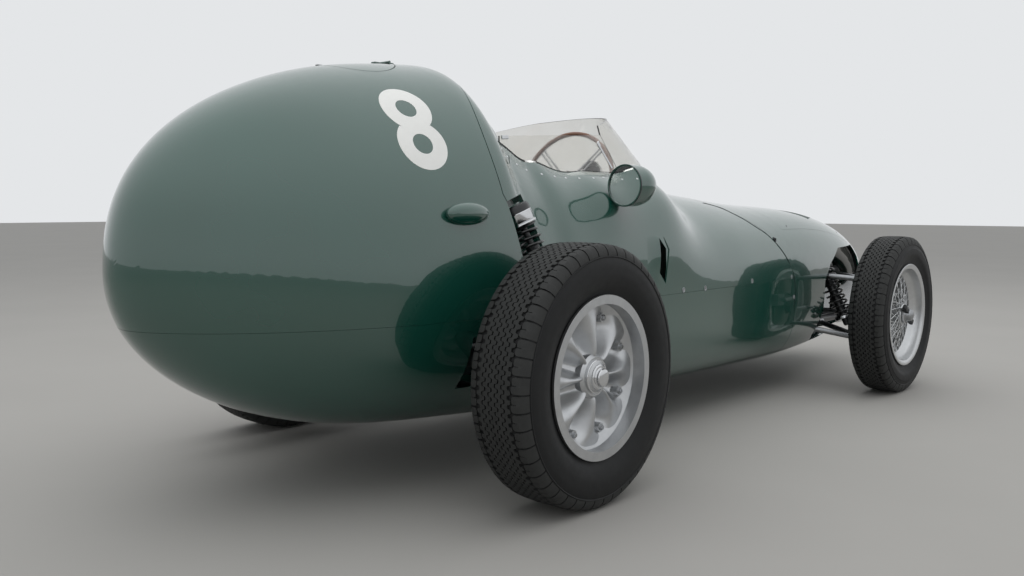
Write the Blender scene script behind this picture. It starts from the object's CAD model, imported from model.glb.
# %% [markdown]
# An open wheel racing car of the late nineteen-fifties. The solid model is the fixed frame: it
# comes in with one call and is never moved. This file gives it the finishes of the real car and
# adds what is too fine for the solids, such as tyre tread, wire spokes, rivets and the number.
# Lengths are millimetres from the rear axle: x forward, y to the car's left, z up from the
# ground. Blender works in metres, so one function makes the change.

# %% Load the frame
from math import cos, exp, pi, radians, sin, sqrt, tan

import bmesh
import bpy
import numpy as np
from mathutils import Matrix, Vector
from mathutils.bvhtree import BVHTree


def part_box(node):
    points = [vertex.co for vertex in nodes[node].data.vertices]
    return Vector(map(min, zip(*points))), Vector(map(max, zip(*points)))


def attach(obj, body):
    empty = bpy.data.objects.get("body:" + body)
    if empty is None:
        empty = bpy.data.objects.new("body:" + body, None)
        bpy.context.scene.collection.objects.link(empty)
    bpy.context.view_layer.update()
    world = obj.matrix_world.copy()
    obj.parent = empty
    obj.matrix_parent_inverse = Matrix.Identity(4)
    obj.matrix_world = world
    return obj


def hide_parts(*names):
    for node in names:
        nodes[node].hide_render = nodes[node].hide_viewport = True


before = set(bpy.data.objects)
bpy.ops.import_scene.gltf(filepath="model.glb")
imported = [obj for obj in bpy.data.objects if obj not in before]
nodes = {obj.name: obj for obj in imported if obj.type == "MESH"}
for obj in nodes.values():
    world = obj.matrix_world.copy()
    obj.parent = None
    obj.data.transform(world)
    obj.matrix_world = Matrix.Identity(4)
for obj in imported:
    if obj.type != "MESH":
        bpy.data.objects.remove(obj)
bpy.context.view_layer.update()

# %% [markdown]
# The axles are the natural places to measure a car from, so they are read off the frame: the
# middle of each tyre is the middle of its axle.

# %% Places read from the frame
MM = 0.001


def middle(name):
    low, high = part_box(name)
    return (Vector(low) + Vector(high)) / 2 / MM


AXLE_X, REAR_Y, REAR_Z = middle("rear_tyre_left")
FRONT_X, FRONT_Y, FRONT_Z = middle("front_tyre_left")
WHEELBASE = FRONT_X - AXLE_X


def xyz(x, y, z):
    return Vector((x, y, z))


def place(x, y, z):
    """A point in the frame's metres from millimetres measured at the rear axle."""
    return xyz((x + AXLE_X) * MM, y * MM, z * MM)


def linked(name, data):
    thing = bpy.data.objects.new(name, data)
    bpy.context.collection.objects.link(thing)
    return thing


print("wheelbase", round(WHEELBASE), "rear track", round(2 * REAR_Y), "front track", round(2 * FRONT_Y))

# %% [markdown]
# The camera stands low behind the right rear wheel. Its place, aim and lens come from lining up
# the wheels' circles; the picture was cropped, so the lens is shifted instead of turned.

# %% Camera
EYE = (-2086.3, -2119.1, 807.9)
YAW, PITCH, ROLL = 45.48, -4.454, 0.069
FOCAL_PX = 939.8
PICTURE_W, PICTURE_H = 1024, 576
PRINCIPAL_PX = (406.4, 278.3)

lens = bpy.data.cameras.new("camera")
lens.sensor_width = 36
lens.lens = FOCAL_PX / PICTURE_W * lens.sensor_width
lens.shift_x = (PICTURE_W / 2 - PRINCIPAL_PX[0]) / PICTURE_W
lens.shift_y = (PRINCIPAL_PX[1] - PICTURE_H / 2) / PICTURE_W
lens.clip_end = 60
camera = linked("camera", lens)
aim = Matrix.Rotation(radians(YAW - 90), 4, "Z") @ Matrix.Rotation(radians(90 + PITCH), 4, "X")
camera.matrix_world = Matrix.Translation(place(*EYE)) @ aim @ Matrix.Rotation(radians(ROLL), 4, "Z")
bpy.context.scene.camera = camera
print("lens", round(lens.lens, 2), "mm")

# %% [markdown]
# A colour is written as the hex value of a paint chart. Blender mixes light in linear values, so
# one function converts. A whole finish takes up to three patterns: one moves the colour between
# two values, one the roughness, and one raises the surface by a real distance.

# %% Colour, pattern and finish helpers
FINISHES = {}
# Patterns other than noise: cell size in mm, node, output, values, settings
CELLS = {
    "crackle": (2.2, "TexVoronoi", "Distance", {}, {"feature": "DISTANCE_TO_EDGE"}),
    "hide": (3.0, "TexVoronoi", "Distance", {}, {}),
    "year_rings": (14, "TexWave", "Fac", {"Distortion": 6.0, "Detail": 3.0}, {"wave_type": "RINGS"}),
    "fins": (12, "TexWave", "Fac", {}, {}),
}


def linear(hex_colour):
    parts = [int(hex_colour[i:i + 2], 16) / 255 for i in (1, 3, 5)]
    return [p / 12.92 if p <= 0.04045 else ((p + 0.055) / 1.055) ** 2.4 for p in parts] + [1.0]


def add(tree, kind, values=None, links=None, **settings):
    """Adds a shader node, with values for its inputs and links from other nodes' outputs."""
    item = tree.nodes.new("ShaderNode" + kind)
    for key, value in settings.items():
        setattr(item, key, value)
    for key, value in (values or {}).items():
        item.inputs[key].default_value = value
    for key, output in (links or {}).items():
        tree.links.new(output, item.inputs[key])
    return item


def noise(size_mm, detail=3.0, rough=0.55):
    """A cloudy pattern whose patches are about size_mm across."""
    return size_mm, "TexNoise", "Fac", {"Detail": detail, "Roughness": rough}, {}


def pattern(tree, choice):
    """One of the CELLS by its name, or a noise by its measures, in real size."""
    size_mm, kind, output, values, settings = CELLS[choice] if choice in CELLS else noise(*choice)
    where = {"Vector": add(tree, "TexCoord").outputs["Object"]}
    return add(tree, kind, {"Scale": 1 / (size_mm * MM), **values}, where, **settings).outputs[output]


def coat(name, slot, colour, roughness=None, bump=None, **surface):
    """Each of colour, roughness and bump starts with its pattern; surface holds the plain values."""
    material = bpy.data.materials.new(name)
    material.use_nodes = True
    tree = material.node_tree
    shader = tree.nodes["Principled BSDF"]
    for key, value in surface.items():
        shader.inputs[key.replace("_", " ")].default_value = value
    ramp = add(tree, "ValToRGB", links={"Fac": pattern(tree, colour[0])})
    for stop, hex_colour in zip(ramp.color_ramp.elements, colour[1:]):
        stop.color = linear(hex_colour)
    tree.links.new(ramp.outputs["Color"], shader.inputs["Base Color"])
    if roughness:
        choice, low, high = roughness
        span = add(tree, "MapRange", {"To Min": low, "To Max": high}, {"Value": pattern(tree, choice)})
        tree.links.new(span.outputs["Result"], shader.inputs["Roughness"])
    if bump:
        choice, distance_mm, strength = bump
        relief = add(tree, "Bump", {"Distance": distance_mm * MM, "Strength": strength},
                     {"Height": pattern(tree, choice)})
        tree.links.new(relief.outputs["Normal"], shader.inputs["Normal"])
    FINISHES[name] = (material, slot)


print("green", [round(c, 3) for c in linear("#14503C")])

# %% [markdown]
# The body is hand-beaten aluminium under many coats of dark green enamel, polished. The polish
# gives sharp reflections under a clear coat; the beating leaves slow waves that bend them.

# %% Green enamel on beaten aluminium, and the number's white
coat("green_enamel", "green_paint", ((260, 2.0), "#11463A", "#154F43"), ((60, 4.0), 0.18, 0.3),
     ((170, 1.5, 0.4), 0.9, 1.0), Coat_Weight=1.0, Coat_Roughness=0.03, Coat_IOR=1.75)
coat("white_enamel", "green_paint", ((90,), "#E9EAE6", "#F4F4F1"), Roughness=0.3, Coat_Weight=0.8,
     Coat_Roughness=0.06)
print("paints:", *FINISHES)

# %% [markdown]
# The rear wheels are cast in light alloy. A casting keeps the grain of the sand mould, so its
# shine is broken up by a fine, shallow bump. The wire wheels are sprayed silver, which is
# brighter and finer. Brake iron is rubbed bright by the pads, the ears of the knock-on nuts are
# blackened bronze, and the exhaust has gone straw and brown with heat.

# %% Metals
SAND = (2.4, 4.0, 0.6)
coat("cast_alloy", "alloy_cast", ((30,), "#B4B6B8", "#CFD0D1"), (SAND, 0.3, 0.46), (SAND, 0.25, 0.6),
     Metallic=1.0)
coat("polished_steel", "bright_steel", ((12, 4.0), "#C9CACC", "#DCDDDE"), ((6, 5.0), 0.1, 0.22), Metallic=1.0)
coat("machined_steel", "bright_steel", ((14, 4.0), "#8E9092", "#B3B5B7"), ((5, 5.0), 0.24, 0.42),
     ((1.6, 2.0), 0.08, 0.5), Metallic=1.0)
coat("silver_lacquer", "wheel_silver", ((18, 4.0), "#BFC1C2", "#D6D7D8"), ((4,), 0.26, 0.38), Metallic=0.9,
     Coat_Weight=0.4, Coat_Roughness=0.2)
coat("brake_iron", "bright_steel", ((8, 5.0), "#6E6B67", "#8F8D89"), ((3, 4.0), 0.3, 0.5), Metallic=1.0)
coat("gunmetal", "bright_steel", ((16, 4.0), "#26282A", "#4A4B4B"), ((5, 4.0), 0.25, 0.45), Metallic=0.85)
coat("heat_stained_steel", "bright_steel", ((150, 5.0), "#6F665C", "#A39A8C"), ((10, 4.0), 0.28, 0.5),
     Metallic=1.0)
coat("core_alloy", "alloy_cast", ("fins", "#1D1A17", "#4C4136"), None, ("fins", 1.5, 1.0), Metallic=0.6,
     Roughness=0.5)
print(len(FINISHES), "finishes with the metals")

# %% [markdown]
# Chassis tubes have black stove enamel, less glossy than the body and a little uneven. Coil wire
# is dipped in glossy black, so each turn carries one thin bright line. The instrument panel has
# crackle paint, a dry skin split into cells about 2 mm across, and its dials are matt black.

# %% Black paints
coat("black_stove_enamel", "steel_tube", ((40, 4.0), "#17191A", "#24272A"), ((15, 4.0), 0.35, 0.55),
     ((5,), 0.1, 0.6), Coat_Weight=0.4, Coat_Roughness=0.25)
coat("spring_black", "steel_tube", ((20,), "#0C0D0E", "#17191A"), ((8,), 0.22, 0.36), Coat_Weight=0.8,
     Coat_Roughness=0.08)
coat("crackle_black", "black_metal", ("crackle", "#0B0B0C", "#191A1B"), None, ("crackle", 0.3, 1.0),
     Roughness=0.6)
coat("dial_face", "black_metal", ((10,), "#0A0A0B", "#131415"), Roughness=0.5)
print(len(FINISHES), "finishes with the black paints")

# %% [markdown]
# Tyre rubber is nearly black and matt, and the tread's face is rubbed a shade greyer. Its pits
# are too small to see here, so the bump is drawn at a few millimetres. Varnished wood has grain
# under a glossy coat. The windscreen is clear acrylic with a slight warm tint and a faint haze.

# %% Rubber, leather, wood, clear sheet and mirror
PITS = (3, 3.0)
coat("tyre_rubber", "tyre", ((45, 5.0), "#0E0F10", "#18191A"), ((20, 4.0), 0.5, 0.68), (PITS, 0.12, 0.6),
     Specular_IOR_Level=0.35)
coat("scuffed_rubber", "tyre", ((30, 5.0), "#232424", "#353635"), ((14, 4.0), 0.55, 0.75), (PITS, 0.12, 0.6),
     Specular_IOR_Level=0.4)
coat("black_rubber", "tyre", ((25,), "#101112", "#1B1C1D"), ((6,), 0.6, 0.8))
coat("black_leather", "leather", ((70, 4.0), "#1B1715", "#2B2421"), ("hide", 0.42, 0.6), ("hide", 0.35, 0.7),
     Sheen_Weight=0.1)
coat("laminated_wood", "wood", ("year_rings", "#5A331D", "#8A5632"), Roughness=0.4, Coat_Weight=0.9,
     Coat_Roughness=0.08)
coat("clear_acrylic", "perspex", ((120, 2.0), "#E9E7E2", "#F4F3F0"), ((40, 4.0), 0.02, 0.07),
     Transmission_Weight=1.0, IOR=1.49)
coat("mirror_silver", "mirror_glass", ((40, 2.0), "#E4E8E6", "#EEF1F0"), ((25,), 0.01, 0.04), Metallic=1.0)
print(len(FINISHES), "finishes in all")

# %% [markdown]
# Each solid gets the finish of the real piece. Left and right pieces share one entry.

# %% Finishes on the solid pieces
NODE_FINISH = {
    "green_enamel": "bonnet_hatch nose_cowl centre_body lower_side_panels belly_pan filler_flap tail_shell "
                    "tail_pan mirrors side_vents spring_pockets nose_duct",
    "clear_acrylic": "windscreen screen_side_panel",
    "black_stove_enamel": "space_frame frame_cross_tubes frame_hoops de_dion_tube radius_arms cockpit_bulkhead",
    "machined_steel": "half_shaft steering_rack front_upright track_rod gear_lever front_upper_wishbones "
                      "front_lower_wishbones",
    "cast_alloy": "rear_wheel final_drive front_caliper",
    "silver_lacquer": "front_wheel",
    "brake_iron": "front_brake_disc engine_block",
    "tyre_rubber": "rear_tyre front_tyre",
    "polished_steel": "rear_spring_dampers front_spring_dampers",
    "black_leather": "seat headrest_pad",
    "crackle_black": "dashboard",
    "laminated_wood": "steering_wheel",
    "mirror_silver": "mirror_glasses",
    "core_alloy": "radiator",
    "heat_stained_steel": "exhaust_pipe",
}


def set_finish(thing, finish):
    thing.data.materials.clear()
    thing.data.materials.append(FINISHES[finish][0])


for finish, names in NODE_FINISH.items():
    for name in names.split():
        for node in (name, name + "_left", name + "_right"):
            if node in nodes:
                set_finish(nodes[node], finish)
print("finished", sum(len(n.data.materials) > 0 for n in nodes.values()), "of", len(nodes))

# %% [markdown]
# The pieces that follow are mostly turned or bent from round stock on the real car, so a few
# helpers make nearly all of them: one turns an outline about an axis, one sweeps a circle along a
# path, one skins a row of outlines. A shape is a list of points and a list of faces.

# %% Helpers that make a mesh
SIDES = (("left", 1), ("right", -1))
WELD_MM = 0.004


def joined(shapes):
    """Several shapes as one."""
    points, faces = [], []
    for some_points, some_faces in shapes:
        start = len(points)
        points.extend(some_points)
        faces.extend(tuple(i + start for i in face) for face in some_faces)
    return points, faces


def mirrored(shape):
    points, faces = joined(shape) if isinstance(shape, list) else shape
    return [(x, -y, z) for x, y, z in points], faces


def square_to(axis):
    """The way along an axis, and two ways square to it and to each other."""
    way = Vector(axis).normalized()
    side = way.orthogonal().normalized()
    return way, side, way.cross(side)


def turned(side, over, angle):
    return side * cos(angle) + over * sin(angle)


def turns(steps, shift=0.0):
    """The angles of equal steps all the way round."""
    return [2 * pi * (k + shift) / steps for k in range(steps)]


def about(centre, angle, r, w):
    """A point of a wheel: r from its axle, an angle from the top, w out from its middle."""
    return centre[0] + r * sin(angle), centre[1] + w, centre[2] + r * cos(angle)


def skin(grid, round_rows=False, round_cols=False, lids=False):
    """A grid of points as a shape: a round direction closes on itself, lids close the end rows."""
    points, rows, cols = [tuple(p) for row in grid for p in row], len(grid), len(grid[0])
    faces = []
    for i in range(rows if round_rows else rows - 1):
        here, there = i * cols, (i + 1) % rows * cols
        faces += [(here + j, here + (j + 1) % cols, there + (j + 1) % cols, there + j)
                  for j in range(cols if round_cols else cols - 1)]
    if lids:
        faces += [tuple(range(cols)), tuple(range(len(points) - cols, len(points)))]
    return points, faces


def loft(outlines, loop=False):
    """Closed outlines of one length, skinned from each to the next."""
    return skin(outlines, loop, True, not loop)


def lathe(outline, spot, axis, steps=48, ring=False):
    """Turns an outline of (radius, distance along the axis) points; ring closes the outline itself."""
    way, side, over = square_to(axis)
    outs = [turned(side, over, a) for a in turns(steps)]
    return skin([[Vector(spot) + way * along + out * r for r, along in outline] for out in outs], True, ring)


def swept(path, radius, sides=10, loop=False):
    """A round bar along a path; radius is one number or one for each point."""
    path = [Vector(p) for p in path]
    n = len(path)
    radii = [radius] * n if isinstance(radius, (int, float)) else radius
    circles, side = [], None
    for k, p in enumerate(path):
        ahead = path[(k + 1) % n] if loop or k < n - 1 else p
        behind = path[k - 1] if loop or k else p
        way = (ahead - behind).normalized()
        side = way.orthogonal() if side is None else side - way * side.dot(way)
        side.normalize()
        over = way.cross(side)
        circles.append([p + turned(side, over, a) * radii[k] for a in turns(sides)])
    return loft(circles, loop)


def hexagon(spot, axis, flats, height, turn=0.0):
    """A hexagon head with its corners chamfered, as every bolt and nut has."""
    way, side, over = square_to(axis)
    corner = flats / 2 / cos(pi / 6)
    return loft([[Vector(spot) + way * along + turned(side, over, pi * k / 3 + turn) * corner * share
                  for k in range(6)] for along, share in ((0, 1), (height * 0.8, 1), (height, 0.86))])


def piece(name, shape, finish, body="root", sharp=30, stands_for=()):
    """Makes one mesh of a shape or a list of them, with a finish, which moves with a body."""
    points, faces = joined(shape) if isinstance(shape, list) else shape
    mesh = bpy.data.meshes.new(name)
    mesh.from_pydata([place(*p) for p in points], [], faces)
    work = bmesh.new()
    work.from_mesh(mesh)
    bmesh.ops.remove_doubles(work, verts=work.verts, dist=WELD_MM * MM)
    bmesh.ops.recalc_face_normals(work, faces=work.faces)
    work.to_mesh(mesh)
    work.free()
    mesh.shade_smooth()
    mesh.set_sharp_from_angle(angle=radians(sharp))
    thing = linked(name, mesh)
    set_finish(thing, finish)
    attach(thing, body)
    if stands_for:
        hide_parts(*stands_for)
    return thing


def pair(name, shape, finish, body="root", sharp=30, given=1, stands_for=()):
    """A piece and its mirror image; given says which side the shape is for, 1 for the left."""
    for side, sign in SIDES:
        piece(f"{name}_{side}", shape if sign == given else mirrored(shape), finish,
              body if body == "root" else f"{body}_{side}", sharp, [f"{node}_{side}" for node in stands_for])


print("a hexagon head has", len(hexagon((0, 0, 0), (0, 0, 1), 10, 5)[1]), "faces")

# %% [markdown]
# Rivets and strips have to sit on the panels. A search tree over the panels' triangles answers
# where a straight line meets them and which way the surface faces there.

# %% Finding the surface of a panel
BESIDE, ABOVE = 900, 1600   # how far out a line starts, clear of every panel


def tree_of(*names):
    """A search tree, in millimetres from the rear axle, over the triangles of some solid pieces."""
    meshes = [nodes[name].data for name in names]
    return BVHTree.FromPolygons(*joined(
        [([xyz(v.co.x / MM - AXLE_X, v.co.y / MM, v.co.z / MM) for v in mesh.vertices],
          [tuple(p.vertices) for p in mesh.polygons]) for mesh in meshes]))


BODY = tree_of("tail_shell", "centre_body", "nose_cowl", "bonnet_hatch", "lower_side_panels", "tail_pan", "filler_flap")


def facing(normal, way):
    """A surface's direction, on the side that a given way points to."""
    return normal if normal.dot(Vector(way)) > 0 else -normal


def cast(start, way, tree=BODY):
    """Where a straight line meets a surface, and the way out of it; nothing where it misses."""
    spot, normal, _, _ = tree.ray_cast(Vector(start), Vector(way))
    return (spot, facing(normal, -Vector(way))) if spot else (None, None)


def from_right(x, z, tree=BODY):
    return cast((x, -BESIDE, z), (0, 1, 0), tree)


def from_above(x, y):
    return cast((x, y, ABOVE), (0, 0, -1))


def nearest(point, way):
    """The body's nearest point, and the way out of it on the given side."""
    spot, normal, _, _ = BODY.find_nearest(Vector(point))
    return spot, facing(normal, way)


print("side of the body at x 900, z 600:", from_right(900, 600)[0])

# %% [markdown]
# Real tyres are moulded: a smooth carcass, and a tread whose thin S-shaped grooves run round in
# rows, with lugs at the shoulders. A bump map would leave the outline smooth, so the tread is
# made of real ribs with zig-zag edges, raised from the floor of the grooves.

# %% Tyre carcass and tread
GROOVE = 4.4
ZIG = 4.8
# One pitch of a groove's edge: how far round (a share of the pitch), how far sideways
ZIG_PATH = [(0.04, -ZIG), (0.30, -ZIG), (0.38, -ZIG * 0.7), (0.46, ZIG * 0.7), (0.54, ZIG), (0.80, ZIG),
            (0.88, ZIG * 0.7), (0.96, -ZIG * 0.7)]
# One lug's inner edge, with the slit that cuts it apart: how far round, how far out from the groove
LUG_PATH = [(0.05, 9.0), (0.08, 4.0), (0.14, 1.2), (0.20, 0.2), (0.40, 0.2), (0.45, 1.6), (0.475, 3.6),
            (0.478, 15.0), (0.512, 15.0), (0.515, 4.8), (0.56, 2.8), (0.62, 2.0), (0.84, 2.0), (0.91, 4.2),
            (0.95, 9.0)]
BEAD_R, RIM_TOP_R, BULGE_SHARE = 203.6, 220, 0.47
DEPTH, SKIRT, WALL = 5.0, 0.6, 11.0   # groove depth, how far a rib's sides go on below it, rubber at the sides


def smooth_through(knots, steps):
    """Points along a Catmull-Rom curve through some knots."""
    run, knots = [], [np.array(knot) for knot in knots]
    for a, b, c, d in zip([knots[0], *knots], knots, knots[1:], [*knots[2:], knots[-1]]):
        for i in range(steps):
            t = i / steps
            bend, twist = 2 * a - 5 * b + 4 * c - d, 3 * b - a - 3 * c + d
            run.append(0.5 * (2 * b + (c - a) * t + bend * t * t + twist * t ** 3))
    return [tuple(map(float, p)) for p in [*run, knots[-1]]]


def rib(columns, spot, crown, closed=True):
    """A rib of rubber: each column has an angle and its sideways places, from one edge to the other."""
    grid = []
    for angle, across in columns:
        profile = [(across[0], DEPTH + SKIRT), *((w, 0) for w in across), (across[-1], DEPTH + SKIRT)]
        grid.append([about(spot, angle, crown(w) - sunk, w) for w, sunk in profile])
    return skin(grid, closed, lids=not closed)


def zig_ribs(spot, crown, lines, pitches):
    """The continuous ribs between neighbouring zig-zag grooves."""
    ribs = []
    for left, right in zip(lines, lines[1:]):
        edges = left + GROOVE / 2, (left + right) / 2, right - GROOVE / 2
        ribs.append(rib([(2 * pi * (k + share) / pitches, [w + zig for w in edges])
                         for k in range(pitches) for share, zig in ZIG_PATH], spot, crown))
    return ribs


def shoulder_lugs(spot, crown, line, edge, pitches, sign):
    """The lugs between the last groove and the tyre's edge, cut apart by slits."""
    inner = line + GROOVE / 2 + ZIG * 0.5
    lugs = []
    for k in range(pitches):
        columns = []
        for share, into in LUG_PATH:
            start = inner + into
            across = tuple(sign * (start + (edge - start) * t) for t in (0, 0.3, 0.55, 0.72, 0.84, 0.93, 1))
            columns.append((2 * pi * (k + share) / pitches, across))
        lugs.append(rib(columns, spot, crown, closed=False))
    return lugs


def make_tyre(name, spot, radius, half, flat, bead_half, pitches, lines):
    """One tyre: a moulded carcass of revolution with its ribs and lugs on it."""
    bulge = RIM_TOP_R + BULGE_SHARE * (radius - RIM_TOP_R)
    edge = half - 6.0
    side_wall = smooth_through([(BEAD_R, bead_half), (213, bead_half + 1.5), (226, bead_half + 5),
                                (246, half - 7), (bulge - 14, half - 0.6), (bulge + 8, half),
                                (radius - 50, half - 1.4), (radius - 37, half - 5.0)], 5)
    ridge = [(radius - 35.4, half - 3.6), (radius - 34, half - 3.2), (radius - 32.6, half - 4.2),
             (radius - 31.6, half - 7.6)]
    drops = [(0, 0), (flat * 0.45, 0.2), (flat * 0.8, 1.8), (flat, 4), (flat + 0.3 * (edge - flat), 8.0),
             (flat + 0.6 * (edge - flat), 13.6), (flat + 0.85 * (edge - flat), 20.5), (edge, 29)]

    def crown(w):
        """The tyre's outer radius at one place across it."""
        return float(np.interp(abs(w), [d[0] for d in drops], [radius - d[1] for d in drops]))

    groove_floor = [(crown(w) - d, w) for w, d in ((edge - 4.5, 2.6), (flat + 5, 3.8), (flat + 1, DEPTH),
                                                   (flat * 0.8, DEPTH), (flat * 0.45, DEPTH), (0, DEPTH))]
    inside = [(radius - WALL - 3, 0), (radius - WALL - 9, flat - 6), (bulge + 8, half - WALL),
              (bulge - 14, half - WALL), (228, bead_half - 6), (BEAD_R, bead_half - 9)]
    outside = side_wall + ridge + groove_floor
    outline = outside + [(r, -w) for r, w in outside[-2::-1]] + [(r, -w) for r, w in inside[:0:-1]] + inside
    tread = zig_ribs(spot, crown, lines, pitches)
    for sign in (-1, 1):
        tread += shoulder_lugs(spot, crown, lines[-1], edge, pitches // 2, sign)
    body = name.replace("tyre", "wheel")
    piece(name + "_carcass", lathe(outline, spot, (0, 1, 0), 144, ring=True), "tyre_rubber", body, 32,
          stands_for=(name,))
    return piece(name + "_tread", tread, "scuffed_rubber", body, 32)


for side, sign in SIDES:
    rear_hub, front_hub = (0, sign * REAR_Y, REAR_Z), (WHEELBASE, sign * FRONT_Y, FRONT_Z)
    made = make_tyre("rear_tyre_" + side, rear_hub, 354.8, 95, 73.5, 72, 96, (-50, -30, -10, 10, 30, 50))
    make_tyre("front_tyre_" + side, front_hub, 338.0, 75, 57, 56, 92, (-38, -19, 0, 19, 38))
print("a rear tread has", len(made.data.polygons), "faces")

# %% [markdown]
# The cast rear wheel comes from the solids, because its web of eight flared lobes belongs in the
# source. What is left for here is its hub nut and the bolts in the valleys between the lobes.

# %% Rear wheel nut and bolts
AXLE_WAY = (0, 1, 0)
LOBES, BOLT_CIRCLE, BOLT_SEAT, NUT_SEAT = 8, 163.0, 34, 56   # seats are out from the wheel's middle
nut_spot = xyz(0, REAR_Y + NUT_SEAT, REAR_Z)
nut = lathe([(45, -2), (45.4, 4.6), (44, 6.2), (36, 7.4), (34.6, 13), (31, 16), (26.4, 16.6), (24.2, 18.6),
             (24.2, 24.2), (22.6, 27.2), (17, 29.2), (8, 30.2), (0, 30.5)], nut_spot, AXLE_WAY, 64)
flats = hexagon(nut_spot + xyz(0, 7, 0), AXLE_WAY, 62, 8)
pair("rear_hub_nut", [nut, flats], "polished_steel", "rear_wheel", 28)
bolts = []
for a in turns(LOBES, 0.5):
    seat = Vector(about((0, REAR_Y, REAR_Z), a, BOLT_CIRCLE, BOLT_SEAT))
    bolts += [lathe([(0, 1.8), (8.4, 1.8), (9, 1.2), (9, -0.5)], seat, AXLE_WAY, 20),
              hexagon(seat + xyz(0, 1.5, 0), AXLE_WAY, 12, 5.5, a)]
pair("rear_wheel_bolts", bolts, "machined_steel", "rear_wheel", 28)
print("the hub nut's seat is", round(nut_spot.y), "mm from the car's middle")

# %% [markdown]
# A wire wheel is a rolled rim hung on crossed spokes: half of them pull when the wheel drives,
# half when it brakes. The solids have fewer, square bars, so the wheel is made again here.

# %% Wire wheels
SPOKES_A_ROW = 15
WIRE_R, SPOKE_END_R = 2.0, 176.5
# Rows of spokes: radius and place on the hub, place on the rim, how far round, start
SPOKE_ROWS = ((40.0, 43.0, 9.0, 52, 0.0), (49.0, -37.0, 3.0, 60, 0.25), (49.0, -39.5, -9.0, 60, 0.5))
NUT_TURN = radians(128)
EAR_MID, EAR_OUT = 42, 14


def wire_rim(centre):
    """A rolled rim as one closed outline: lip, bead seat, well, and the same again inboard."""
    outer = [(219.6, 61.5), (219.9, 65.2), (218, 66.4), (214.4, 66.2), (208, 63), (203, 60.5), (201, 52),
             (200.6, 36), (195, 27), (184, 17), (179, 12)]
    inboard = [(r, -w) for r, w in outer[8::-1]]
    under = [(199.4, -64.6), (197.4, -52), (196.8, -37), (191, -31), (180.5, -22), (175.6, -15), (175.6, 12.5),
             (180.5, 18.6), (191, 28.6), (196.8, 38), (197.4, 53), (199.6, 61), (206, 64.8), (213, 66.3),
             (217.6, 66.45)]
    return lathe(outer + [(179, -14), (184, -20), (195, -29)] + inboard + under, centre, AXLE_WAY, 96, ring=True)


def wire_spokes(centre):
    """Crossed spokes: an outer row from the hub's nose, and two rows from its inboard flange."""
    wires = []
    for hub_r, hub_w, rim_w, swing, shift in SPOKE_ROWS:
        for lean in (-1, 1):
            for a in turns(SPOKES_A_ROW, shift + 0.22 * lean + 0.25):
                start = Vector(about(centre, a + radians(swing * lean), hub_r, hub_w + lean * 1.5))
                end = Vector(about(centre, a, SPOKE_END_R, rim_w))
                way = (end - start).normalized()
                wires += [swept([start, end], WIRE_R, 7),
                          swept([end - way * 13, end - way * 10, end + way * 1.5], [2.4, 3.4, 3.6], 7)]
    return wires


def nut_ears(centre):
    """The two ears of the hub nut, which a soft hammer knocks round."""
    outline = [(20, 8), (34, 4), (50, 5), (62, 9), (66.5, 15), (65, 21), (57, 24.5), (42, 22.5), (24, 26)]
    ears = []
    for turn in (NUT_TURN, NUT_TURN + pi):
        s, c = sin(turn), cos(turn)
        rows = []
        for thick, share in ((-10, 0.93), (-8, 1), (8, 1), (10, 0.93)):
            flat = [(EAR_MID + (r - EAR_MID) * share, EAR_OUT + (w - EAR_OUT) * share) for r, w in outline]
            rows.append([Vector(centre) + xyz(r * s + thick * c, w, r * c - thick * s) for r, w in flat])
        ears.append(loft(rows))
    return ears


centre = (WHEELBASE, FRONT_Y, FRONT_Z)
nut_spot = (WHEELBASE, FRONT_Y + 50, FRONT_Z)
hub = lathe([(18.1, -44), (54, -44), (55, -40), (53, -35), (40, -30), (34, -24), (33, 28), (38, 34), (45, 38),
             (46, 46), (42, 49.6), (18.1, 49.6)], centre, AXLE_WAY, 48, ring=True)
boss = lathe([(0, 0), (35, 0), (36, 3), (34, 9), (29, 14), (27, 24), (23, 31), (15, 35.6), (0, 37.4)], nut_spot,
             AXLE_WAY, 48)
band = lathe([(36.6, 2.5), (38.6, 3.5), (38.6, 8.5), (36, 9.5)], nut_spot, AXLE_WAY, 48)
pair("wire_wheel", [wire_rim(centre), hub, *wire_spokes(centre)], "silver_lacquer", "front_wheel",
     stands_for=("front_wheel",))
pair("front_hub_nut", boss, "machined_steel", "front_wheel")
pair("front_hub_ears", nut_ears(nut_spot), "gunmetal", "front_wheel")
pair("front_hub_band", band, "polished_steel", "front_wheel")
print(SPOKES_A_ROW * 2 * len(SPOKE_ROWS), "spokes in each wheel")

# %% [markdown]
# Each spring is a close coil of round wire wound about its damper: a ribbed bar in the solids, a
# real helix here. Above it come a silver collar, a polished head and a black cap.

# %% Coil springs and dampers
COIL_START, STEPS_A_TURN = 40, 22


def helix(low, top, end, mean_r, wire_r, winds):
    """A coil with its last half turn at each end laid flat, as springs are ground."""
    way, side, over = square_to(top - low)
    path, steps = [], int(winds * STEPS_A_TURN)
    for k in range(steps + 1):
        wound = k / steps * winds
        up = COIL_START + wire_r + (end - COIL_START - 2 * wire_r) * min(1, max(0, (wound - 0.6) / (winds - 1.2)))
        path.append(low + way * up + turned(side, over, 2 * pi * wound) * mean_r)
    return swept(path, wire_r, 9)


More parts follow.
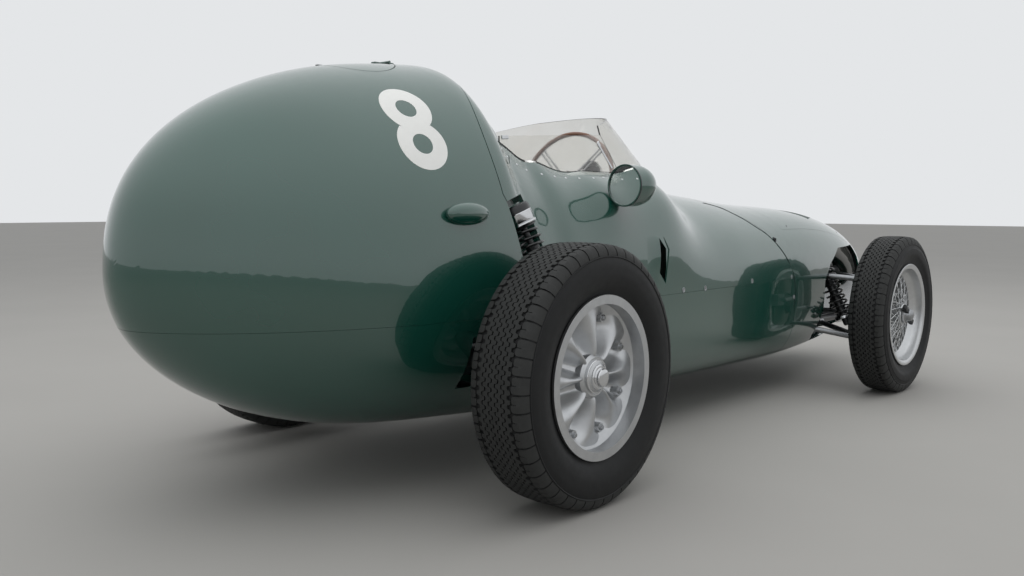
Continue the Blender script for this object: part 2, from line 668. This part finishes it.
def spring_unit(name, low, top, coil_r, wire_r, winds, head, head_r):
    """A coil and damper as four pieces, because each has its own finish."""
    low, top = Vector(low), Vector(top)
    length, way = (top - low).length, (top - low).normalized()
    end = length - head - 14
    made = {
        "coil": ("spring_black", helix(low, top, end, coil_r - wire_r, wire_r, winds)),
        "damper": ("black_stove_enamel", [
            lathe([(0, 0), (13, 0), (17, 6), (17, 34), (20, 36), (20, end - 60), (9, end - 58), (9, end), (0, end)],
                  low, way, 32),
            lathe([(0, end + 13), (head_r - 3, end + 13), (head_r - 1, length - 12), (head_r - 5, length - 3),
                   (head_r - 14, length - 0.4), (0, length - 0.2)], low, way, 40)]),
        "collar": ("polished_steel", [
            lathe([(18, 28), (coil_r + 2.5, 28), (coil_r + 3, 31), (coil_r + 2.5, 39.5), (18, 39.5)], low, way, 40),
            lathe([(9, end), (coil_r + 5, end), (coil_r + 6, end + 2.5), (coil_r + 5, end + 6), (coil_r + 1, end + 8),
                   (head_r - 1.6, end + 14), (head_r - 0.6, length - 26), (head_r - 2, length - 24)], low, way, 48)]),
        "eye": ("machined_steel", hexagon(low + way * 3, way, 24, 8)),
    }
    for part, (finish, shape) in made.items():
        for side, sign in SIDES:
            piece(f"{name}_{part}_{side}", shape if sign > 0 else mirrored(shape), finish, sharp=35,
                  stands_for=(name,) if part == "coil" and sign > 0 else ())
    return length


rear_length = spring_unit("rear_spring_dampers", (138.0, REAR_Y - 145.35, 490.0), (35.0, 400.0, 806.0), 39, 4.4, 12.5,
                          48, 44)
spring_unit("front_spring_dampers", (WHEELBASE + 34, 500.0, 268.0), (WHEELBASE + 60, 345.0, 575.0), 41, 4.6, 11, 30, 40)
print("rear unit", round(rear_length), "mm long")

# %% [markdown]
# The race number is signwriter's enamel. Two rings make the figure 8. It is drawn flat, then each
# point is carried straight in until it meets the tail, so the figure bends as paint does. The
# lower ring stops where it meets the upper one, because two layers at one height would flicker.

# %% Race number
RING_OUT, RING_HOLE = 79.0, 31.5
UPPER, LOWER = (-270.0, 47.0), (-275.0, -74.5)
NUMBER_OUT = xyz(0, -0.81, 0.59).normalized()
NUMBER_UP = xyz(0, 0.59, 0.81).normalized()
NUMBER_Y, NUMBER_Z = -300, 1035
PAINT_MM, PAINT_FOOT, RING_STEPS = 0.5, -0.3, 120


def onto_tail(u, w, height):
    """A point of the flat drawing, carried in to the tail's right side."""
    start = xyz(u, NUMBER_Y, NUMBER_Z) + NUMBER_UP * w + NUMBER_OUT * 400
    spot, normal = cast(start, -NUMBER_OUT)
    return spot + normal * height


def reach(angle):
    """How far out the lower ring goes before it meets its own edge or the upper ring's."""
    du, dw = cos(angle), sin(angle)
    gap_u, gap_w = LOWER[0] - UPPER[0], LOWER[1] - UPPER[1]
    b = du * gap_u + dw * gap_w
    inside = b * b - (gap_u ** 2 + gap_w ** 2 - RING_OUT ** 2)
    return min(RING_OUT, -b - sqrt(inside)) if inside > 0 and b < 0 else RING_OUT


def painted_ring(centre, far):
    grid = []
    for a in turns(RING_STEPS):
        edge = far(a)
        run = [(RING_HOLE, PAINT_FOOT), *((RING_HOLE + (edge - RING_HOLE) * i / 6, PAINT_MM) for i in range(7)),
               (edge, PAINT_FOOT)]
        grid.append([onto_tail(centre[0] + r * cos(a), centre[1] + r * sin(a), height) for r, height in run])
    return skin(grid, True)


number = [painted_ring(UPPER, lambda a: RING_OUT), painted_ring(LOWER, reach)]
pair("race_number", number, "white_enamel", sharp=50, given=-1)
print("the number is", round(UPPER[1] - LOWER[1] + 2 * RING_OUT), "mm tall")

# %% [markdown]
# The panels are held by quarter-turn fasteners, rivets and small screws, and a black rubber strip
# fills the tail's joint. They are small, but they give the eye the size of everything else.

# %% Strips, rivets and fasteners
TAIL_JOINT = [(69, -60, 1209), (52, -118, 1183), (36, -155, 1158), (27, -200, 1122), (11, -235, 1093),
              (-11, -266, 1057), (-24, -298, 1020), (-29, -318, 989), (-33, -340, 955), (-34, -352, 932),
              (-34, -372, 890), (-29, -395, 838)]
NOSE_JOINT = [(1498, -213, 824), (1550, -228, 813), (1587, -250, 800), (1605, -284, 781), (1638, -320, 754),
              (1675, -353, 723), (1726, -382, 690), (1773, -409, 639), (1819, -428, 584), (1862, -437, 529),
              (1883, -439, 469), (1885, -439, 400), (1885, -430, 330), (1885, -405, 250)]
HATCH_JOINT = [(1740, -366, 700), (1926, -366, 692), (2187, -366, 684), (2448, -366, 661), (2600, -366, 636)]
SIDE_SEAM = [(124, -316, 959), (100, -330, 935), (80, -342, 915), (55, -360, 886), (31, -388, 838)]
RIVET_LINE = [(88, 975), (108, 952), (150, 930), (205, 915), (270, 904), (335, 898), (400, 895), (465, 895), (530, 897),
              (595, 900), (660, 904), (722, 909)]
CATCHES = ((930, 510, 0.4), (1088, 507, 2.0), (1470, 512, 1.1), (1847, 508, 2.7), (1875, 420, 0.2))
SILL_Z = 500   # joints above it are pressed in from above, those below from underneath
TAIL_BOLT = ([(7.5, -0.5), (7.5, 1.0), (6.8, 1.4), (0, 1.4)], 1.2, 4.6, 3.6)
LATCH_KNOB = ([(11, -0.5), (11, 2), (8, 3.4), (0, 3.6)], 3, 5, 5)
BOLTS = ((TAIL_BOLT, (0, 0, 1), ((30, -214, 1112), (-24, -352, 935), (62, -96, 1196))),
         (LATCH_KNOB, (0, -1, 0), ((1978, -346, 712), (2569, -334, 675), (1768, -394, 666))))


def stud(spot, way, radius, height):
    """A rivet or screw head: a low dome."""
    return lathe([(radius, -0.6), (radius, height * 0.25), (radius * 0.82, height * 0.7),
                  (radius * 0.4, height * 0.95), (0, height)], spot, way, 16)


def quarter_turn(spot, way, turn):
    """A flush fastener: a dished disc with a bar across for the key."""
    side = way.orthogonal().normalized()
    along_bar = turned(side, way.cross(side), turn)
    disc = lathe([(9.5, -0.6), (9.5, 0.9), (8.6, 1.5), (7, 1.3), (5.6, 0.7), (0, 0.6)], spot, way, 24)
    bar = swept([spot + along_bar * d + way * 0.9 for d in (-5.6, -5, 5, 5.6)], [0.6, 1.4, 1.4, 0.6], 8)
    return joined([disc, bar])


def on_panels(line, lift):
    """A smooth line pressed onto the body's right side, so that it stands out by a little."""
    path = []
    for x, y, z in smooth_through(line, 8):
        spot, out = nearest((x, y, z), (0, y, z - SILL_Z))
        path.append(spot + out * lift)
    return path


right = on_panels(TAIL_JOINT, 0.3)
over_top = [xyz(69, y, from_above(69, y)[0].z + 0.3) for y in (-45, -30, -15, 0, 15, 30, 45)]
left = [xyz(p.x, -p.y, p.z) for p in reversed(right)]
piece("tail_joint_strip", swept(right + over_top + left, 2.1, 8), "black_rubber", sharp=60)
joints = [swept(on_panels(line, 0.1), radius, 6)
          for line, radius in ((SIDE_SEAM, 0.9), (NOSE_JOINT, 1.4), (HATCH_JOINT, 1.5))]
bolts = []
for (outline, lift, radius, height), way, spots in BOLTS:
    for point in spots:
        spot, out = nearest(point, way)
        bolts += [lathe(outline, spot, out, 20), stud(spot + out * lift, out, radius, height)]
rivets = [stud(*from_right(x, z), 4.4, 1.9) for x, z in RIVET_LINE]
catches = [quarter_turn(*from_right(x, z), turn) for x, z, turn in CATCHES]
for name, shapes, finish, sharp in (("panel_joints", joints, "black_rubber", 60), ("tail_bolts", bolts, "gunmetal", 35),
                                    ("screen_rivets", rivets, "polished_steel", 50),
                                    ("panel_fasteners", catches, "machined_steel", 35)):
    pair(name, shapes, finish, sharp=sharp, given=-1)
print(len(rivets), "rivets and", len(catches), "fasteners on each side")

# %% [markdown]
# The screen is two sheets joined by a narrow alloy strip, with a bracket at its top and a small
# clip where the low side panel ends behind the driver's shoulder.

# %% Screen strip, bracket and clip
SCREEN = tree_of("windscreen", "screen_side_panel")
SPLIT_TOP, SPLIT_FOOT = Vector((656, 1022)), Vector((729, 936))
CLIP_REAR, CLIP_AHEAD = (112, 1011), (152, 1014)


def ribbon(centre_line, ways, across, thick):
    """A flat strip along a line, lying square to the given outward ways."""
    outlines, n = [], len(centre_line)
    for k, (p, out) in enumerate(zip(centre_line, ways)):
        ahead = (centre_line[min(n - 1, k + 1)] - centre_line[max(0, k - 1)]).normalized()
        wide = ahead.cross(out).normalized() * across / 2
        outlines.append([p + wide * w + out * h for w, h in ((-1, -0.4), (1, -0.4), (1, thick * 0.6), (0.7, thick),
                                                             (-0.7, thick), (-1, thick * 0.6))])
    return loft(outlines)


split = [from_right(*SPLIT_TOP.lerp(SPLIT_FOOT, k / 8), SCREEN) for k in range(9)]
split = [found for found in split if found[0]]
top, out = split[0]
down = (split[1][0] - top).normalized()
rear, rear_out = from_right(*CLIP_REAR, SCREEN)
ahead = (from_right(*CLIP_AHEAD, SCREEN)[0] - rear).normalized()
for name, line, ways, across, thick in (
        ("screen_strip", [s[0] for s in split], [s[1] for s in split], 9, 1.6),
        ("screen_bracket", [top - down * 2, top + down * 6, top + down * 16], [out] * 3, 17, 3.4),
        ("screen_clip", [rear, rear + ahead * 14, rear + ahead * 32], [rear_out] * 3, 12, 3.2)):
    piece(name, ribbon(line, ways, across, thick), "polished_steel")
print("strip from", tuple(round(c) for c in split[0][0]), "to", tuple(round(c) for c in split[-1][0]))

# %% [markdown]
# The steering wheel has a slim wooden rim, one swept circle, on four slotted spokes of flat
# plate. It turns with its own body about the column, which leans a quarter of its length.

# %% Steering wheel
WHEEL_MID = xyz(838, 0, 883)
COLUMN_WAY = xyz(1, 0, -0.25).normalized()
WHEEL_UP, WHEEL_LEFT = xyz(0.25, 0, 1).normalized(), xyz(0, 1, 0)
RIM_R, RIM_THICK, SCREW_R = 200.0, 8.6, 23
SPOKE_OUTLINE = [(26, 15), (70, 12), (120, 10), (170, 9.5), (194, 12), (200, 12)]   # radius, half width


def in_wheel(u, w, d=0.0):
    return WHEEL_MID + WHEEL_LEFT * u + WHEEL_UP * w + COLUMN_WAY * d


def round_wheel(radius, steps, d=0.0):
    return [in_wheel(radius * cos(a), radius * sin(a), d) for a in turns(steps)]


piece("steering_rim", swept(round_wheel(RIM_R, 96), RIM_THICK, 14, loop=True), "laminated_wood", "steering_wheel", 60,
      ("steering_wheel",))
spokes = []
for a in turns(4, 0.5):
    du, dw = cos(a), sin(a)
    for low, high in ((-1, -0.42), (0.42, 1)):
        spokes.append(loft([[in_wheel(du * r - dw * half * share, dw * r + du * half * share, d + 6 - r * 0.03)
                             for share, d in ((low, -2), (low, 2), (high, 2), (high, -2))]
                            for r, half in SPOKE_OUTLINE]))
boss = lathe([(0, -9), (14, -9), (18, -6), (20, 0), (30, 2), (30, 8), (24, 12), (14.2, 14), (14.2, 30)], WHEEL_MID,
             COLUMN_WAY, 40)
screws = [stud(spot, -COLUMN_WAY, 3, 2.2) for spot in round_wheel(SCREW_R, 6, 1.2)]
piece("steering_spokes", [*spokes, boss, *screws], "machined_steel", "steering_wheel")
column = lathe([(0, 10), (13.8, 10), (13.8, 229), (0, 229.6)], WHEEL_MID, COLUMN_WAY, 32)
piece("steering_column", column, "black_stove_enamel", "steering_wheel")
print("rim", round(2 * (RIM_R + RIM_THICK)), "mm across")

# %% [markdown]
# Leather pads are laced into the seat. A pad is a crowned closed form: its two skins meet in a
# piped seam, it is fullest in the middle, and sewn channels pull it down. One formula shapes it
# instead of a cloth simulation, because it is held flat behind and only its crown shows.

# %% Seat pads
EDGE_SHARE, PULL, CHANNEL_DEEP, CHANNEL_WIDE = 0.3, 0.025, 5.5, 5
PIPING_R, PIPING_STEPS = 2.4, 80


def full(t):
    """A pad's share of its thickness: all, then a quarter of an ellipse down to the seam."""
    over = (abs(t) - (1 - EDGE_SHARE)) / EDGE_SHARE
    return sqrt(max(0.0, 1 - over * over)) if over > 0 else 1.0


def pulled_in(half_u, half_v, u, v):
    """A place on a pad whose sides are drawn in a little between its corners."""
    return u * half_u * (1 - PULL * (1 - v * v)), v * half_v * (1 - PULL * (1 - u * u))


def pad(half_u, half_v, thick, crown_mm, channels, turn, spot):
    """A piped cushion in its own u, v plane, then turned and placed; channels are shares of v."""
    steps_u, steps_v = 28, 40
    skins = []
    for face in (1, -1):
        grid = []
        for i in range(steps_u + 1):
            u = sin(pi / 2 * (2 * i / steps_u - 1))
            grid.append([])
            for j in range(steps_v + 1):
                v = sin(pi / 2 * (2 * j / steps_v - 1))
                height = thick / 2 * face
                if face > 0:
                    height += crown_mm * (1 - u ** 4) * (1 - v ** 4)
                    height -= sum(CHANNEL_DEEP * exp(-((v - c) * half_v / CHANNEL_WIDE) ** 2)
                                  for c in channels) * (1 - u ** 6)
                flat = pulled_in(half_u, half_v, u, v)
                grid[-1].append(Vector(spot) + turn @ xyz(*flat, height * full(u) * full(v)))
        skins.append(skin(grid))
    welt = []
    for a in turns(PIPING_STEPS):
        c, s = cos(a), sin(a)
        stretch = 1 / max(abs(c), abs(s)) * 0.5 + 0.5 / (abs(c) ** 8 + abs(s) ** 8) ** 0.125
        u, v = (max(-1, min(1, t * stretch)) for t in (c, s))
        welt.append(Vector(spot) + turn @ xyz(*pulled_in(half_u, half_v, u, v), 0))
    return skins + [swept(welt, PIPING_R, 8, loop=True)]


FLAT = Matrix.Identity(3)
UPRIGHT = Matrix(((0, 0, 1), (0, 1, 0), (-1, 0, 0)))
BACK_LEAN = radians(4)
LEAN_BACK = Matrix.Rotation(-BACK_LEAN, 3, "Y") @ UPRIGHT
FIVE_CHANNELS = (-0.66, -0.33, 0, 0.33, 0.66)
# Half length, half width, thickness, crown, channels, how it lies, where, fill, the solid it stands for
PADS = {
    "seat_cushion": (215, 176, 26, 13, FIVE_CHANNELS, FLAT, (596, 0, 252), 0.7, "seat"),
    "seat_back_pad": (250, 176, 24, 11, FIVE_CHANNELS, LEAN_BACK, (344, 0, 540), 0.7, "seat"),
    "headrest_cushion": (42, 93, 22, 9, (0,), UPRIGHT, (309.5, 0, 968.5), 0.8, "headrest_pad"),
}
for name, (*pad_form, fill, node) in PADS.items():
    piece(name, pad(*pad_form), "black_leather", sharp=60, stands_for=(node,))
    low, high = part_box(node)
    print(name, "over", node, [round(v / MM) for v in low], [round(v / MM) for v in high])

# %% [markdown]
# The bucket is folded from thin sheet: a base, two wings with rolled edges, and a leaning back.

# %% Seat bucket
SHEET = 2.5
BACK_X, BACK_FOOT = 350.5, 233
WING = [(352, 236), (812, 236), (812, 300), (795, 335), (760, 350), (420, 352), (372, 420), (352, 500), (333, 500)]
BACK = [(-202, 236), (202, 236), (202, 760), (180, 796), (-180, 796), (-202, 760)]


def plate(outline, fold):
    """A flat sheet from an outline of two coordinates; fold makes the points at each depth."""
    return loft([[fold(a, b, d) for a, b in outline] for d in (0, SHEET)])


bucket = [plate([(355, -202), (820, -202), (820, 202), (355, 202)], lambda a, b, d: (a, b, 234 + d)),
          plate(BACK, lambda a, b, d: (BACK_X - (b - BACK_FOOT) * tan(BACK_LEAN) + d, a, b))]
for sign in (-1, 1):
    bucket += [plate(WING, lambda a, b, d: (a, sign * (199 + d), b)),
               swept([(a, sign * 200.5, b) for a, b in smooth_through(WING[2:8], 5)], 4, 8)]
piece("seat_bucket", bucket, "black_stove_enamel", stands_for=("seat",))
print("bucket of", len(bucket), "plates and rolled edges")

# %% [markdown]
# Each side has an air outlet: a pressed louvre that stands proud of a slanting slot. One sheet
# makes it, a grid of points laid over the hole in the panel, with the slot's cells left out.

# %% Side louvres
LOUVRE_X = [684, 694, 706, 718, 730, 742, 752, 762, 815, 832, 839]
SLOT_REAR, SLOT_FRONT = 762, 815
SLOT_TOP, SLOT_FOOT, SLOT_DROPS = 698, 578, (38, 46)   # the slot's ends, and how far they fall towards its front
LOUVRE_TOP, LOUVRE_FOOT, LOUVRE_ROWS, PROUD = 706, 524, 9, 11
PANEL_HIGH, PANEL_LOW = 716, 516


def sheet(grid, ways, missing, thick):
    """A closed thin sheet from a grid of points: two skins, and walls along every open edge."""
    points, cells = skin(grid)
    back = len(points)
    points += [tuple(p - way * thick) for row, out in zip(grid, ways) for p, way in zip(row, out)]
    cells = [cell for cell in cells if divmod(cell[0], len(grid[0])) not in missing]
    edges = [edge for cell in cells for edge in zip(cell, cell[1:] + cell[:1])]
    faces = cells + [tuple(v + back for v in reversed(cell)) for cell in cells]
    return points, faces + [(b, a, a + back, b + back) for a, b in edges if (b, a) not in edges]


def side_plane(x, z):
    """The side's surface beside the hole, read above and below it and bridged straight."""
    high, out = from_right(x, PANEL_HIGH)
    low, _ = from_right(x, PANEL_LOW)
    return xyz(x, low.y + (high.y - low.y) * (z - PANEL_LOW) / (PANEL_HIGH - PANEL_LOW), z), out


grid, ways = [], []
for row in range(LOUVRE_ROWS):
    line, outs = [], []
    share = (row - 1) / (LOUVRE_ROWS - 3)   # 0 at the slot's top, 1 at its foot
    for x in LOUVRE_X:
        slope = min(1, max(0, (x - SLOT_REAR) / (SLOT_FRONT - SLOT_REAR)))
        top, foot = SLOT_TOP - SLOT_DROPS[0] * slope, SLOT_FOOT - SLOT_DROPS[1] * slope
        z, proud = top + (foot - top) * share, 1.0
        if row in (0, LOUVRE_ROWS - 1):
            z = LOUVRE_FOOT if row else LOUVRE_TOP
        elif x <= SLOT_REAR:
            proud += (PROUD * ((x - LOUVRE_X[0]) / (SLOT_REAR - LOUVRE_X[0])) ** 1.6
                      * sin(pi * (0.16 + 0.68 * share)))
        spot, out = side_plane(x, z)
        line.append(spot + out * proud)
        outs.append(out)
    grid.append(line)
    ways.append(outs)
slot_column = LOUVRE_X.index(SLOT_REAR)
louvre = sheet(grid, ways, {(row, slot_column) for row in range(1, LOUVRE_ROWS - 2)}, 1.6)
pair("side_louvre", louvre, "green_enamel", given=-1)
print("slot", SLOT_FRONT - SLOT_REAR, "mm wide")

# %% [markdown]
# Seven round gauges sit on the dashboard. Bezels and faces are turned outlines. The marks could
# be painted on, but small bars along the dial's directions stay crisp from close by.

# %% Instruments
DASH_X, DIAL_WAY = 1010.0, xyz(-1, 0, 0)
GAUGES = ((0, 936, 46), (-108, 912, 33), (108, 912, 33), (-170, 830, 27), (170, 830, 27), (-92, 812, 27), (92, 812, 27))
bezels, dials, marks = [], [], []


def on_dial(centre, angle, distances, height):
    """Points along one direction of a dial, at some distances from its middle."""
    out = xyz(0, sin(angle), cos(angle))
    return [centre + DIAL_WAY * height + out * d for d in distances]


for y, z, r in GAUGES:
    spot = xyz(DASH_X, y, z)
    bezels.append(lathe([(r, -0.5), (r, 5), (r - 1.5, 7.5), (r - 4.5, 7), (r - 5, 3)], spot, DIAL_WAY, 48))
    dials.append(lathe([(r - 4, 0.6), (r - 4, 3), (0, 3)], spot, DIAL_WAY, 48))
    for k in range(25):
        length, thick = (0.13, 0.7) if k % 4 else (0.24, 1.0)
        mark = on_dial(spot, radians(-135 + 270 * k / 24), (r - 6, (r - 6) * (1 - length)), 3.2)
        marks.append(swept(mark, thick, 5))
    needle = on_dial(spot, radians(-118 + y), (-7, 0, r - 9), 4)
    marks += [swept(needle, [1.2, 1.5, 0.4], 6), stud(spot + DIAL_WAY * 3.2, DIAL_WAY, 3.4, 2.4)]
piece("dial_bezels", bezels, "polished_steel")
piece("dial_faces", dials, "dial_face")
piece("dial_marks", marks, "white_enamel")
print(len(GAUGES), "gauges")

# %% [markdown]
# In the nose's mouth shows the radiator: upright water tubes with thin folded fins across them.
# A pattern could show them, but real bars catch the light and shade each other.

# %% Radiator core
TUBES, FINS, FOLDS = 24, 40, 49
low, high = ([c / MM for c in corner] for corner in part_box("radiator"))
front_x, half_w, foot_z, top_z = high[0] - AXLE_X, (high[1] - low[1]) / 2, low[2], high[2]
bars = []
for k in range(TUBES):
    y = -half_w + 8 + (2 * half_w - 16) * k / (TUBES - 1)
    bars.append(swept([(front_x + 0.6, y, foot_z + 6), (front_x + 0.6, y, top_z - 6)], 1.6, 6))
for k in range(FINS):
    z = foot_z + 10 + (top_z - foot_z - 20) * k / (FINS - 1)
    fin = [(front_x + 0.3, -half_w + 6 + (2 * half_w - 12) * i / (FOLDS - 1), z + (1.6 if i % 2 else -1.6))
           for i in range(FOLDS)]
    bars.append(swept(fin, 0.7, 4))
piece("radiator_core", bars, "core_alloy", sharp=40)
print(TUBES, "radiator tubes")

# %% [markdown]
# Four band clamps hold the exhaust pipe. Each is an outline turned around the pipe, with a boss
# on top and a bolt and nut across it.

# %% Exhaust clamps
PIPE_Y, PIPE_Z, PIPE_R = 478.0, 218.0, 36.0
EAR_Z = PIPE_Z + PIPE_R + 7
CLAMPS_X = (1480, 900, 320, -180)
band = [(PIPE_R - 0.5, -9), (PIPE_R + 1.8, -9), (PIPE_R + 2.4, 0), (PIPE_R + 1.8, 9), (PIPE_R - 0.5, 9)]
clamps = []
for x in CLAMPS_X:
    clamps += [lathe(band, (x, PIPE_Y, PIPE_Z), (1, 0, 0), 48, ring=True),
               swept([(x, PIPE_Y - 12, EAR_Z), (x, PIPE_Y + 12, EAR_Z)], 3, 8),
               hexagon((x, PIPE_Y + 8, EAR_Z), (0, 1, 0), 10, 5),
               lathe([(0, 0), (8, 0), (8, 12), (0, 12)], (x, PIPE_Y - 4, PIPE_Z + PIPE_R), (0, 0, 1), 16)]
piece("exhaust_clamps", clamps, "machined_steel", sharp=35)
print(len(CLAMPS_X), "clamps")

# %% [markdown]
# A mirror's rim lies square to its glass, so its place and direction are measured from the
# glass's faces. The filler's latch is a small bar just above the flap's own surface.

# %% Mirror rims and filler latch
RIM_OUTLINE = [(62.4, -0.4), (63, 1.6), (66, 4.4), (67.6, 3.6), (67.9, 1.0), (67.2, -1.5)]
rims = []
for sign in (-1, 1):
    glass = [p for p in nodes["mirror_glasses"].data.polygons if p.normal.x < -0.8 and p.center.y * sign > 0]
    area = sum(p.area for p in glass)
    centre = sum((p.center * p.area for p in glass), Vector()) / area / MM - xyz(AXLE_X, 0, 0)
    rims.append(lathe(RIM_OUTLINE, centre, sum((p.normal * p.area for p in glass), Vector()), 64))
piece("mirror_rims", rims, "black_stove_enamel", sharp=40)

LATCH_X = -352
spot, out = from_above(LATCH_X, 0)
bar = [spot + xyz(d, 0, 0) + out * h for d, h in ((-14, -1), (-8, 0), (8, 0.4), (15, 0))]
latch = [swept(bar, [1.6, 2.4, 2.4, 1.4], 10), stud(bar[1], out, 6, 2)]
piece("filler_latch", latch, "machined_steel", "filler_flap", 40)
print("mirror rims at", [round(c) for c in centre])

# %% [markdown]
# A plain pale floor under an even studio. Dark gloss paint shows what it reflects, so the room
# is light down to its horizon and brightens softly towards the zenith. One very large lamp hangs
# overhead and is left out of the reflections, where its straight edges would show on the paint.

# %% Floor and light
FLOOR_HALF = 40
LAMP_SIZE, LAMP_HEIGHT, LAMP_X, LAMP_WATTS = (12.0, 8.0), 5200, 1100, 232
ground = bpy.data.meshes.new("floor")
corners = [(x * FLOOR_HALF, y * FLOOR_HALF, 0) for x, y in ((-1, -1), (1, -1), (1, 1), (-1, 1))]
ground.from_pydata(corners, [], [(0, 1, 2, 3)])
floor = linked("floor", ground)
coat("pale_floor", None, ((900,), "#A6A4A0", "#AEACA8"), Roughness=0.8)
set_finish(floor, "pale_floor")

light = bpy.data.lights.new("overhead", "AREA")
light.shape = "RECTANGLE"
light.size, light.size_y = LAMP_SIZE
light.energy = LAMP_WATTS
lamp = linked("overhead", light)
lamp.location = place(LAMP_X, 0, LAMP_HEIGHT)
lamp.visible_glossy = False

world = bpy.data.worlds.new("studio")
bpy.context.scene.world = world
world.use_nodes = True
room = world.node_tree
lighting = room.nodes["Background"]
lighting.inputs["Color"].default_value = linear("#F4F6F8")
lighting.inputs["Strength"].default_value = 0.62
heading = add(room, "SeparateXYZ", links={0: add(room, "TexCoord").outputs["Generated"]})
overcast = add(room, "MapRange", {"From Min": 0.3, "From Max": 0.95, "To Min": 1.0, "To Max": 1.27},
               {"Value": heading.outputs["Z"]}, interpolation_type="SMOOTHSTEP")
seen = add(room, "Background", {"Color": linear("#E4E6E8")}, {"Strength": overcast.outputs[0]})
rays = add(room, "LightPath").outputs
looking = rays["Is Camera Ray"]
for kind in ("Is Glossy Ray", "Is Transmission Ray"):
    looking = add(room, "Math", links={0: looking, 1: rays[kind]}, operation="MAXIMUM").outputs[0]
mixed = add(room, "MixShader", links={0: looking, 1: lighting.outputs[0], 2: seen.outputs[0]})
room.links.new(mixed.outputs[0], room.nodes["World Output"].inputs["Surface"])
bpy.context.scene.view_settings.view_transform = "Standard"
print("lamp", LAMP_SIZE, "m,", LAMP_WATTS, "W")
